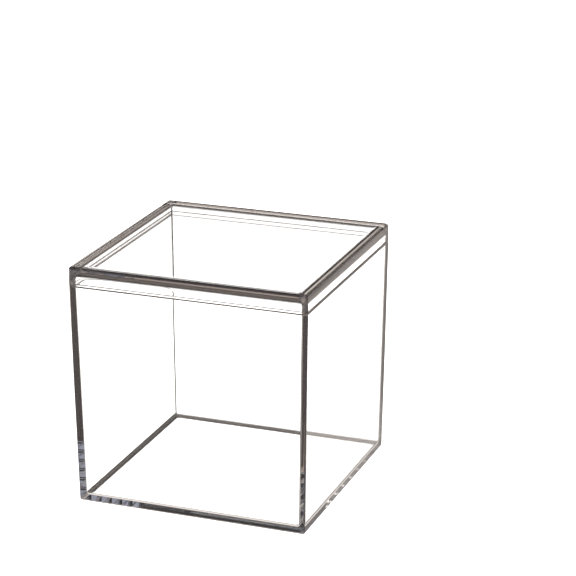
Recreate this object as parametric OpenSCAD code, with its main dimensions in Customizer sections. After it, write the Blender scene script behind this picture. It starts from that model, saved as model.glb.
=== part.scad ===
// Clear display cube: a moulded five-sided box body closed by a flush lift-off lid.
// Millimetres. The origin is the centre of the base on the surface it stands on,
// +X and +Y run along the sides and +Z is up.

/* [Overall] */
// Outside width across the seam, the same in both directions
cube_w = 100; // [60:1:160]
// Height over everything with the lid on
cube_h = 100; // [60:1:160]
// How far each side leans in from the seam down to the base
body_draft = 1.5; // [0:0.1:2]
// How far each side of the lid leans in from the seam up to the top
lid_draft = 0.1; // [0:0.05:0.3]
// Radius of the outside edges and corners
edge_r = 1.2; // [0.6:0.1:1.6]

/* [Walls] */
// Thickness of the side walls and of the lid's skirt
wall_t = 2.4; // [1.8:0.1:3.4]
// Thickness of the floor
floor_t = 2.1; // [1.8:0.1:3.4]
// Thickness of the lid's top plate
plate_t = 2.9; // [1.8:0.1:3.4]
// Radius inside where the floor meets the walls
floor_r = 2.0; // [0.6:0.1:2.4]
// Radius inside where the lid's plate meets its skirt
plate_r = 2.4; // [0.6:0.1:2.6]
// Radius of the upright inside corners
upright_r = 0.5; // [0.4:0.1:1.6]

/* [Lid joint] */
// Height of the lid above the seam
lid_h = 7; // [5:0.5:15]
// How far the lid's tongue reaches down into the rebate of the body's rim
tongue_h = 1.5; // [0.6:0.1:2]
// Thickness of the tongue
tongue_t = 1.2; // [0.8:0.05:1.3]
// Side clearance between the tongue and the rebate
side_gap = 0.1; // [0.05:0.05:0.2]
// Height of the open line at the seam, above and below the tongue
seam_gap = 0.1; // [0.05:0.05:0.2]

/* [Hidden] */

seam_z = cube_h - lid_h;                  // top of the body's rim
seam_half = cube_w / 2;                   // half width at the seam
base_half = seam_half - body_draft;       // half width at the base
hollow_half = seam_half - wall_t;         // half width of the hollow at the seam
rebate_half = hollow_half + tongue_t + side_gap;
rebate_z = seam_z - tongue_h;             // shelf that the tongue stands over
over = 1;                                 // how far a cut runs past a face
disc_t = 0.2;                             // upright land at a block's square end
round_fn = 16;                            // facets round a full turn of an edge

// Half width of the body's outer face at height z
function outer_half(z) = seam_half - body_draft * (1 - z / seam_z);

// A ball whose poles and equator lie exactly at its radius
module bead(r) {
    rotate_extrude($fn = round_fn)
        intersection() {
            circle(r = r, $fn = round_fn);
            translate([0, -r]) square([r, 2 * r]);
        }
}

// Four copies of the children at the corners of a square
module at_corners(half) {
    for (x = [-half, half], y = [-half, half])
        translate([x, y, 0]) children();
}

// A square block with rounded upright edges that may lean, from z0 to z1.
// An end marked as round has its edges and corners rounded too.
module block(half0, half1, z0, z1, r, round0 = false, round1 = false) {
    hull() {
        if (round0)
            translate([0, 0, z0 + r]) at_corners(half0 - r) bead(r);
        else
            translate([0, 0, z0]) at_corners(half0 - r) cylinder(r = r, h = disc_t, $fn = round_fn);
        if (round1)
            translate([0, 0, z1 - r]) at_corners(half1 - r) bead(r);
        else
            translate([0, 0, z1 - disc_t]) at_corners(half1 - r) cylinder(r = r, h = disc_t, $fn = round_fn);
    }
}

// Extrudes an upright profile along Y, past both sides of the cube
module along_y() {
    rotate([90, 0, 0]) linear_extrude(height = cube_w, center = true) children();
}

// Upright profile of a hollow that is closed below, with a radius r at its closed end
module hollow_profile(closed_half, open_half, depth, r) {
    hull() {
        for (x = [r - closed_half, closed_half - r])
            translate([x, r]) circle(r = r, $fn = round_fn);
        translate([-open_half, depth - disc_t]) square([2 * open_half, disc_t]);
    }
}

// A square hollow standing on its closed end at z = 0 and open at the top, as deep as depth
module hollow(closed_half, open_half, depth, r) {
    intersection() {
        block(closed_half, open_half, 0, depth, upright_r);
        along_y() hollow_profile(closed_half, open_half, depth, r);
        rotate([0, 0, 90]) along_y() hollow_profile(closed_half, open_half, depth, r);
    }
}

// Five-sided box with drafted walls and a rebate inside its rim for the lid's tongue
module box_body() {
    top_z = seam_z + over;
    color([0.93, 0.95, 0.96, 0.35])
    difference() {
        block(base_half, seam_half, 0, seam_z, edge_r, round0 = true);
        translate([0, 0, floor_t])
            hollow(outer_half(floor_t) - wall_t, outer_half(top_z) - wall_t, top_z - floor_t, floor_r);
        block(rebate_half, rebate_half, rebate_z, top_z, edge_r);
    }
}

// Top plate with a skirt flush with the body and a tongue that drops inside the rim
module lid() {
    skirt_z = seam_z + seam_gap;
    tongue_z = rebate_z + seam_gap;
    tongue_half = rebate_half - side_gap;
    under_z = cube_h - plate_t;
    color([0.95, 0.96, 0.97, 0.35])
    difference() {
        union() {
            block(seam_half, seam_half - lid_draft, skirt_z, cube_h, edge_r, round1 = true);
            block(tongue_half, tongue_half, tongue_z, skirt_z + edge_r, edge_r);
        }
        translate([0, 0, under_z]) mirror([0, 0, 1])
            hollow(hollow_half, hollow_half, under_z - tongue_z + over, plate_r);
    }
}

box_body();
lid();
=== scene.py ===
"""Looks of the clear display cube: smooth moulded shells, clear acrylic, a pale floor and a pale sky.

Lengths are in metres. The shells are swept from the cube's cross-section, and each fills the same box as
the CAD node that it replaces. The floor and the sky aren't plain: light that has reflected on its way
sees other brightnesses than straight light, by steps that were set to match the photo and follow no law.
"""
import math

import bmesh
import bpy
from mathutils import Matrix, Vector

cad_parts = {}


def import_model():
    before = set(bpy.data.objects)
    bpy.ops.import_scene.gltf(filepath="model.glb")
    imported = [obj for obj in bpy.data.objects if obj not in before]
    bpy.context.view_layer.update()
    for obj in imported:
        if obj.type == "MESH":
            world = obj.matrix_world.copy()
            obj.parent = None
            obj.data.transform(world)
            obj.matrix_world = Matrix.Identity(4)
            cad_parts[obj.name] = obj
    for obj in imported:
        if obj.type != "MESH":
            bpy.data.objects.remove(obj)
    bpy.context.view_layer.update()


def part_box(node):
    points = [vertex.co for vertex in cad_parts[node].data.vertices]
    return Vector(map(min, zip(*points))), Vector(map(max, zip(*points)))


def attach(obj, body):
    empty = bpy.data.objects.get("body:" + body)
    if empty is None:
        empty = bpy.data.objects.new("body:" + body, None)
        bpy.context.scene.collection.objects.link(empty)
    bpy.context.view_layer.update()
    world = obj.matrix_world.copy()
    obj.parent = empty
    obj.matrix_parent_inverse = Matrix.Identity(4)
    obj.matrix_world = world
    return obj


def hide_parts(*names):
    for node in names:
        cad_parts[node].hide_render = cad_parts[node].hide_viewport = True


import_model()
scene = bpy.context.scene

MM = 0.001

# The cube's driving sizes, from the frame and as in its CAD source
_, lid_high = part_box("lid")
_, body_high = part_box("box_body")
HALF = body_high.x                      # half width at the seam
HEIGHT = lid_high.z                     # overall height
SEAM_Z = body_high.z                    # top of the body's rim
DRAFT = 1.5 * MM                        # how far each wall leans in at the base
LID_DRAFT = 0.1 * MM                    # how far the lid's sides lean in at the top
WALL = 2.4 * MM                         # side walls and skirt
FLOOR_T = 2.1 * MM                      # floor
PLATE_T = 2.9 * MM                      # lid's top plate
TONGUE_H = 1.5 * MM                     # how far the tongue reaches below the seam
TONGUE_T = 1.2 * MM                     # thickness of the tongue
SIDE_GAP = 0.1 * MM                     # side clearance of the tongue
SEAM_GAP = 0.1 * MM                     # open line at the seam
EDGE_R = 1.2 * MM                       # outside edges and corners
FLOOR_FILLET = 2.0 * MM                 # inside, where the floor meets the walls
PLATE_FILLET = 2.4 * MM                 # inside, where the plate meets the skirt
INNER_R = 0.5 * MM                      # upright inside corners
INSIDE_FROM = 0.6 * WALL                # this deep behind the outer face, a corner is an inside one
BREAK_R = 0.12 * MM                     # small radius on the edges at the seam

# How much painted shade darkens each kind of rounded edge, from 0 to 1
EDGE_FADE = 5.0                         # how fast the painted shade sets in across an edge
EDGE_CLEAR = 0.1                        # share of an inside edge left without painted shade, next to the wall
OUTER_PAINTED_SHADE = 0.0                        # outside edges and corners
FLOOR_PAINTED_SHADE = 1.0                        # inside, where the floor meets the walls
PLATE_PAINTED_SHADE = 1.0                        # inside, where the plate meets the skirt
CORNER_PAINTED_SHADE = 1.0                       # upright inside corners

# Mesh density
ARC_STEPS = 8                           # faces round a quarter turn of an edge
BREAK_STEPS = 3                         # faces round a small radius at the seam
SIDE_STEPS = 10                         # faces along each straight side
SKIRT_STEPS = 3                         # faces down the lid's skirt
FACE_WEIGHT = 100                       # how far large faces win when the normals are evened out

# Looks of the acrylic
IOR = 1.49
BODY_CLEAR = (0.997, 0.997, 0.997, 1.0)
LID_CLEAR = (0.9985, 0.9945, 0.9915, 1.0)
# Painted shade: the near-black colour laid on the inside fillets and corners, in place of the dark
# surroundings they would show by refraction
PAINTED_SHADE_COLOUR = (0.004, 0.003, 0.0025, 1.0)
ABSORB_COLOUR = (0.55, 0.5, 0.46, 1.0)
ABSORB_DENSITY = 2.0
SCUFF_SCALE = 900
SCUFF_DETAIL = 4
SCUFF_NOISE = (0.5, 0.9)                # the noise's values between which the scuffs set in
SCUFF_ROUGHNESS = 0.04                  # roughness where the scuffs are strongest

# The floor
FLOOR_RADIUS = 5.0
FLOOR_SEGMENTS = 96
FLOOR_DROP = 0.3 * MM                   # how far it lies below the base
FLOOR_COLOUR = (0.2, 0.2, 0.2, 1)
FLOOR_ROUGHNESS = 0.9

# Light from the floor and the sky, from each of these numbers of reflections on. The brightnesses
# started from a scratch program's fit to the photo's edges, and were then changed by hand.
REFLECTIONS = (0, 1, 2, 3, 5, 9)
FLOOR_STEPS = (
    (1.8, 1.8, 1.8), (0.84, 0.775, 0.725), (0.52, 0.455, 0.41),
    (0.11, 0.09, 0.08), (0.26, 0.2, 0.17), (0.016, 0.008, 0.005),
)
SKY_STEPS = (
    (1.8, 1.8, 1.8), (0.11, 0.09, 0.08), (0.82, 0.735, 0.68),
    (0.3, 0.25, 0.22), (0.33, 0.3, 0.28), (0.1, 0.1, 0.107),
)

# How bright each side is for light that has reflected many times, in degrees from -X anticlockwise.
# Chosen from which sides of the surroundings feed which edges in the photo's view.
SKY_SIDES = (
    (0, (1.0, 1.0, 1.0)), (40, (2.0, 2.0, 2.0)), (65, (8.0, 7.7, 7.0)), (95, (5.0, 4.8, 4.4)),
    (120, (0.9, 0.85, 0.8)), (230, (0.9, 0.95, 1.1)), (265, (1.6, 1.7, 2.0)), (272, (0.5, 0.52, 0.64)),
    (297, (0.5, 0.52, 0.64)), (303, (1.6, 1.6, 1.7)), (335, (0.8, 0.8, 0.8)),
)
PATCH_SCALE = 4.0                       # how fine the patches in the surroundings are
PATCH_DETAIL = 2
PATCHES = ((0.42, (0.1,) * 3), (0.5, (0.5,) * 3), (0.56, (2.4,) * 3))     # by the noise's value

# The camera's own angles, and where the cube's centre lies from it, found from the photo
CAMERA_AZIMUTH = 20.448
CAMERA_TILT = 18.667
CENTRE_FROM_CAMERA = Vector((-22.07 * MM, -29.67 * MM, 931.3 * MM))   # right, up, forward
LENS = 141.76
SENSOR = 36.0
CLIP_START = 0.01
CLIP_END = 100

# Light bounces
MOST_BOUNCES = 48
GLOSSY_BOUNCES = 24
CLEAR_BOUNCES = 16


def arc(centre_a, centre_z, r, start, end, steps=ARC_STEPS, painted_shade=0.0):
    """Points (half width, height, painted shade) round an arc of the section, in degrees."""
    points = []
    for i in range(steps + 1):
        turn = math.radians(start + (end - start) * i / steps)
        sets_in = EDGE_FADE * min(i / steps - EDGE_CLEAR, 1 - i / steps)
        weight = painted_shade * min(1.0, max(0.0, sets_in))
        points.append((centre_a + r * math.cos(turn), centre_z + r * math.sin(turn), weight))
    return points


def run(a0, z0, a1, z1, steps):
    """Points part of the way along a straight stretch of the section, ends left out."""
    return [
        (a0 + (a1 - a0) * i / steps, z0 + (z1 - z0) * i / steps, 0.0)
        for i in range(1, steps)
    ]


def ring(half, r, z, weight, corner_painted_shade):
    """One rounded square: a list of ((x, y, z), painted shade), anticlockwise from +X's low corner."""
    points = []
    flat = half - r
    for side in range(4):
        turn = Matrix.Rotation(math.radians(90 * side), 3, "Z")
        for i in range(SIDE_STEPS):
            y = -flat + 2 * flat * i / SIDE_STEPS
            points.append((turn @ Vector((half, y, z)), weight))
        for i in range(ARC_STEPS):
            angle = math.radians(90 * i / ARC_STEPS)
            corner = Vector((flat + r * math.cos(angle), flat + r * math.sin(angle), z))
            here = 0.0 if i == 0 else corner_painted_shade
            points.append((turn @ corner, max(weight, here)))
    return points


def cap(bm, weights, verts, half, r, z):
    """Closes a ring with a square grid, a strip along each side and a fan at each corner."""
    flat = half - r
    grid = {}
    for i in range(SIDE_STEPS + 1):
        for j in range(SIDE_STEPS + 1):
            x = -flat + 2 * flat * i / SIDE_STEPS
            y = -flat + 2 * flat * j / SIDE_STEPS
            grid[i, j] = bm.verts.new((x, y, z))
            grid[i, j][weights] = 0.0
    for i in range(SIDE_STEPS):
        for j in range(SIDE_STEPS):
            bm.faces.new((grid[i, j], grid[i + 1, j], grid[i + 1, j + 1], grid[i, j + 1]))
    last = SIDE_STEPS
    sides = (
        [grid[last, j] for j in range(last + 1)],
        [grid[last - j, last] for j in range(last + 1)],
        [grid[0, last - j] for j in range(last + 1)],
        [grid[j, 0] for j in range(last + 1)],
    )
    step = SIDE_STEPS + ARC_STEPS
    for side, inner in enumerate(sides):
        start = side * step
        for i in range(SIDE_STEPS):
            outer = verts[start + i], verts[(start + i + 1) % len(verts)]
            bm.faces.new((outer[0], outer[1], inner[i + 1], inner[i]))
        for i in range(ARC_STEPS):
            a = verts[(start + SIDE_STEPS + i) % len(verts)]
            b = verts[(start + SIDE_STEPS + i + 1) % len(verts)]
            bm.faces.new((a, b, inner[last]))


def shell(name, section):
    """Sweeps a closed section round the square. The section runs from one cap to the other."""
    bm = bmesh.new()
    # Per-vertex amount of painted shade, by which the acrylic darkens the fillets and corners
    weights = bm.verts.layers.float.new("edge")
    rings = []
    for half, z, weight in section:
        verts = []
        # Inside corners get the corners' amount of painted shade, outside corners the outer edges' amount
        inside = outer_half(min(z, SEAM_Z)) - half > INSIDE_FROM
        corner_painted_shade = CORNER_PAINTED_SHADE if inside else OUTER_PAINTED_SHADE
        for point, value in ring(half, corner_radius(half), z, weight, corner_painted_shade):
            vert = bm.verts.new(point)
            vert[weights] = value
            verts.append(vert)
        rings.append(verts)
    count = len(rings[0])
    for low, high in zip(rings, rings[1:]):
        for i in range(count):
            j = (i + 1) % count
            bm.faces.new((low[i], low[j], high[j], high[i]))
    for verts, (half, z, _) in ((rings[0], section[0]), (rings[-1], section[-1])):
        cap(bm, weights, verts, half, corner_radius(half), z)
    bmesh.ops.recalc_face_normals(bm, faces=bm.faces)
    mesh = bpy.data.meshes.new(name)
    bm.to_mesh(mesh)
    bm.free()
    mesh.polygons.foreach_set("use_smooth", [True] * len(mesh.polygons))
    piece = bpy.data.objects.new(name, mesh)
    scene.collection.objects.link(piece)
    normals = piece.modifiers.new("even_normals", "WEIGHTED_NORMAL")
    normals.weight = FACE_WEIGHT
    return piece


def corner_radius(half):
    """Upright corner radius of the rounded square at this half width."""
    depth = HALF - half
    return max(INNER_R, EDGE_R - depth) if depth < WALL + DRAFT + MM else INNER_R


def outer_half(z):
    """Half width of the body's outer face at height z."""
    return HALF - DRAFT * (1 - z / SEAM_Z)


def body_section():
    """The body's section: base, outer wall, rim with its rebate, inner wall, floor."""
    base = outer_half(0)
    rebate = HALF - WALL + TONGUE_T + SIDE_GAP
    shelf = SEAM_Z - TONGUE_H
    inner_top = outer_half(shelf) - WALL
    inner_low = outer_half(FLOOR_T) - WALL
    points = arc(base - EDGE_R, EDGE_R, EDGE_R, -90, 0, painted_shade=OUTER_PAINTED_SHADE)
    points += run(base, EDGE_R, HALF, SEAM_Z - BREAK_R, SIDE_STEPS)
    points += arc(HALF - BREAK_R, SEAM_Z - BREAK_R, BREAK_R, 0, 90, BREAK_STEPS)
    points += arc(rebate + BREAK_R, SEAM_Z - BREAK_R, BREAK_R, 90, 180, BREAK_STEPS)
    points += [(rebate, shelf, 0.0)]
    points += arc(inner_top + BREAK_R, shelf - BREAK_R, BREAK_R, 90, 180, BREAK_STEPS)
    points += run(inner_top, shelf - BREAK_R, inner_low, FLOOR_T + FLOOR_FILLET, SIDE_STEPS)
    # The fillet where the floor meets the walls is darkened with painted shade
    points += arc(inner_low - FLOOR_FILLET, FLOOR_T + FLOOR_FILLET, FLOOR_FILLET, 0, -90, painted_shade=FLOOR_PAINTED_SHADE)
    return points


def lid_section():
    """The lid's section: top, skirt, tongue, hollow, underside of the plate."""
    low = SEAM_Z + SEAM_GAP
    tongue_z = SEAM_Z - TONGUE_H + SEAM_GAP
    tongue = HALF - WALL + TONGUE_T
    hollow = HALF - WALL
    under = HEIGHT - PLATE_T
    top_half = HALF - LID_DRAFT
    points = arc(top_half - EDGE_R, HEIGHT - EDGE_R, EDGE_R, 90, 0, painted_shade=OUTER_PAINTED_SHADE)
    points += run(top_half, HEIGHT - EDGE_R, HALF, low + BREAK_R, SKIRT_STEPS)
    points += arc(HALF - BREAK_R, low + BREAK_R, BREAK_R, 0, -90, BREAK_STEPS)
    points += [(tongue, low, 0.0)]
    points += arc(tongue - BREAK_R, tongue_z + BREAK_R, BREAK_R, 0, -90, BREAK_STEPS)
    points += arc(hollow + BREAK_R, tongue_z + BREAK_R, BREAK_R, 270, 180, BREAK_STEPS)
    points += run(hollow, tongue_z + BREAK_R, hollow, under - PLATE_FILLET, SKIRT_STEPS)
    # The fillet where the plate meets the skirt is darkened with painted shade
    points += arc(hollow - PLATE_FILLET, under - PLATE_FILLET, PLATE_FILLET, 0, 90, painted_shade=PLATE_PAINTED_SHADE)
    return points


def acrylic(name, seed, clear):
    """Clear moulded acrylic: fine scuffs, and painted shade darkening the inside fillets and corners."""
    material = bpy.data.materials.new(name)
    material.use_nodes = True
    tree = material.node_tree
    tree.nodes.clear()
    link = tree.links.new

    def node(kind, **values):
        made = tree.nodes.new(kind)
        for key, value in values.items():
            setattr(made, key, value)
        return made

    out = node("ShaderNodeOutputMaterial")
    surface = node("ShaderNodeBsdfPrincipled")
    surface.inputs["Transmission Weight"].default_value = 1.0
    surface.inputs["IOR"].default_value = IOR
    link(surface.outputs[0], out.inputs["Surface"])

    volume = node("ShaderNodeVolumeAbsorption")
    volume.inputs["Color"].default_value = ABSORB_COLOUR
    volume.inputs["Density"].default_value = ABSORB_DENSITY
    link(volume.outputs[0], out.inputs["Volume"])

    where = node("ShaderNodeTexCoord")
    place = node("ShaderNodeMapping")
    place.inputs["Location"].default_value = (seed, seed * 0.5, -seed)
    link(where.outputs["Object"], place.inputs["Vector"])

    # Painted shade: the vertices' edge weights mix the clear colour towards a near-black one on the
    # inside fillets and corners
    edge = node("ShaderNodeAttribute", attribute_name="edge")
    painted_shade = node("ShaderNodeMix", data_type="RGBA")
    painted_shade.inputs[6].default_value = clear
    painted_shade.inputs[7].default_value = PAINTED_SHADE_COLOUR
    link(edge.outputs["Fac"], painted_shade.inputs[0])
    link(painted_shade.outputs[2], surface.inputs["Base Color"])

    scuff = node("ShaderNodeTexNoise")
    scuff.inputs["Scale"].default_value = SCUFF_SCALE
    scuff.inputs["Detail"].default_value = SCUFF_DETAIL
    link(place.outputs[0], scuff.inputs["Vector"])
    rough = node("ShaderNodeMapRange")
    rough.inputs["From Min"].default_value = SCUFF_NOISE[0]
    rough.inputs["From Max"].default_value = SCUFF_NOISE[1]
    rough.inputs["To Min"].default_value = 0.0
    rough.inputs["To Max"].default_value = SCUFF_ROUGHNESS
    link(scuff.outputs[0], rough.inputs["Value"])
    link(rough.outputs[0], surface.inputs["Roughness"])
    return material


def ramp(tree, factor, stops, mode="LINEAR"):
    """A colour ramp over a factor, from (position, colour) stops in order."""
    made = tree.nodes.new("ShaderNodeValToRGB")
    made.color_ramp.interpolation = mode
    tree.links.new(factor, made.inputs[0])
    elements = made.color_ramp.elements
    for element, (position, colour) in zip(elements, stops):
        element.position, element.color = position, tuple(colour) + (1,)
    for position, colour in stops[2:]:
        elements.new(position).color = tuple(colour) + (1,)
    return made.outputs[0]


def multiplied(tree, first, second, factor):
    """Two colours multiplied, as far as the factor says."""
    mix = tree.nodes.new("ShaderNodeMix")
    mix.data_type, mix.blend_type = "RGBA", "MULTIPLY"
    tree.links.new(factor, mix.inputs[0])
    tree.links.new(first, mix.inputs[6])
    tree.links.new(second, mix.inputs[7])
    return mix.outputs[2]


def reflected(tree, fewest):
    """One for a ray that has reflected at least this often, otherwise zero."""
    path = tree.nodes.new("ShaderNodeLightPath")
    test = tree.nodes.new("ShaderNodeMath")
    test.operation = "GREATER_THAN"
    test.inputs[1].default_value = fewest - 0.5
    tree.links.new(path.outputs["Glossy Depth"], test.inputs[0])
    return test.outputs[0]


def by_reflections(tree, steps):
    """A light colour by how often a ray has reflected on its way, after the counts in REFLECTIONS."""
    path = tree.nodes.new("ShaderNodeLightPath")
    count = tree.nodes.new("ShaderNodeMath")
    count.operation = "DIVIDE"
    count.inputs[1].default_value = 2 * REFLECTIONS[-1]
    tree.links.new(path.outputs["Glossy Depth"], count.inputs[0])
    places = [max(fewest - 0.5, 0) / (2 * REFLECTIONS[-1]) for fewest in REFLECTIONS]
    return ramp(tree, count.outputs[0], list(zip(places, steps)), "CONSTANT")


def by_side(tree, place, sides):
    """A light colour by the side of the studio, given as (degrees from -X anticlockwise, colour)."""
    angle = tree.nodes.new("ShaderNodeTexGradient")
    angle.gradient_type = "RADIAL"
    tree.links.new(place, angle.inputs["Vector"])
    return ramp(tree, angle.outputs[1], [(degrees / 360, colour) for degrees, colour in sides])


def floor():
    """A pale floor that also lights the cube from below, by how often the light has reflected."""
    bm = bmesh.new()
    bmesh.ops.create_circle(bm, cap_ends=True, radius=FLOOR_RADIUS, segments=FLOOR_SEGMENTS)
    mesh = bpy.data.meshes.new("floor")
    bm.to_mesh(mesh)
    bm.free()
    piece = bpy.data.objects.new("floor", mesh)
    piece.location.z = -FLOOR_DROP
    scene.collection.objects.link(piece)
    material = bpy.data.materials.new("pale_floor")
    material.use_nodes = True
    tree = material.node_tree
    surface = tree.nodes["Principled BSDF"]
    surface.inputs["Base Color"].default_value = FLOOR_COLOUR
    surface.inputs["Roughness"].default_value = FLOOR_ROUGHNESS
    tree.links.new(by_reflections(tree, FLOOR_STEPS), surface.inputs["Emission Color"])
    surface.inputs["Emission Strength"].default_value = 1.0
    mesh.materials.append(material)


def world():
    """Pale where it is seen straight; light that has reflected many times sees uneven surroundings."""
    made = bpy.data.worlds.new("studio")
    scene.world = made
    made.use_nodes = True
    tree = made.node_tree
    tree.nodes.clear()
    link = tree.links.new
    where = tree.nodes.new("ShaderNodeTexCoord").outputs["Generated"]
    noise = tree.nodes.new("ShaderNodeTexNoise")
    noise.inputs["Scale"].default_value = PATCH_SCALE
    noise.inputs["Detail"].default_value = PATCH_DETAIL
    link(where, noise.inputs["Vector"])
    light = by_reflections(tree, SKY_STEPS)
    patches = ramp(tree, noise.outputs[0], PATCHES)
    light = multiplied(tree, light, patches, reflected(tree, REFLECTIONS[-2]))
    sides = by_side(tree, where, SKY_SIDES)
    light = multiplied(tree, light, sides, reflected(tree, REFLECTIONS[-1]))
    sky = tree.nodes.new("ShaderNodeBackground")
    out = tree.nodes.new("ShaderNodeOutputWorld")
    link(light, sky.inputs["Color"])
    sky.inputs["Strength"].default_value = 1.0
    link(sky.outputs[0], out.inputs["Surface"])


def camera():
    """A long lens looking slightly down at one corner of the cube."""
    turn, tilt = math.radians(CAMERA_AZIMUTH), math.radians(CAMERA_TILT)
    forward = Vector((-math.sin(turn) * math.cos(tilt), math.cos(turn) * math.cos(tilt), -math.sin(tilt)))
    right = Vector((math.cos(turn), math.sin(turn), 0))
    up = right.cross(forward)
    centre = Vector((0, 0, HEIGHT / 2))
    offset = CENTRE_FROM_CAMERA
    place = centre - right * offset.x - up * offset.y - forward * offset.z
    data = bpy.data.cameras.new("camera")
    data.lens, data.sensor_width = LENS, SENSOR
    data.clip_start, data.clip_end = CLIP_START, CLIP_END
    made = bpy.data.objects.new("camera", data)
    scene.collection.objects.link(made)
    made.matrix_world = Matrix.Translation(place) @ Matrix((right, up, -forward)).transposed().to_4x4()
    scene.camera = made


def render_settings():
    """Colours as they are, and enough bounces for light to run along inside the walls."""
    scene.view_settings.view_transform = "Standard"
    scene.cycles.max_bounces = MOST_BOUNCES
    scene.cycles.transmission_bounces = MOST_BOUNCES
    scene.cycles.glossy_bounces = GLOSSY_BOUNCES
    scene.cycles.transparent_max_bounces = CLEAR_BOUNCES


camera()
floor()
world()
render_settings()

for node_name, body_name, slot_name, section, seed, clear in (
    ("box_body", "body", "clear_acrylic_body", body_section(), 0.3, BODY_CLEAR),
    ("lid", "lid", "clear_acrylic_lid", lid_section(), 0.7, LID_CLEAR),
):
    piece = shell(f"{node_name}_shell", section)
    piece.data.materials.append(acrylic(f"{node_name}_acrylic", seed, clear))
    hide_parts(node_name)
    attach(piece, body_name)
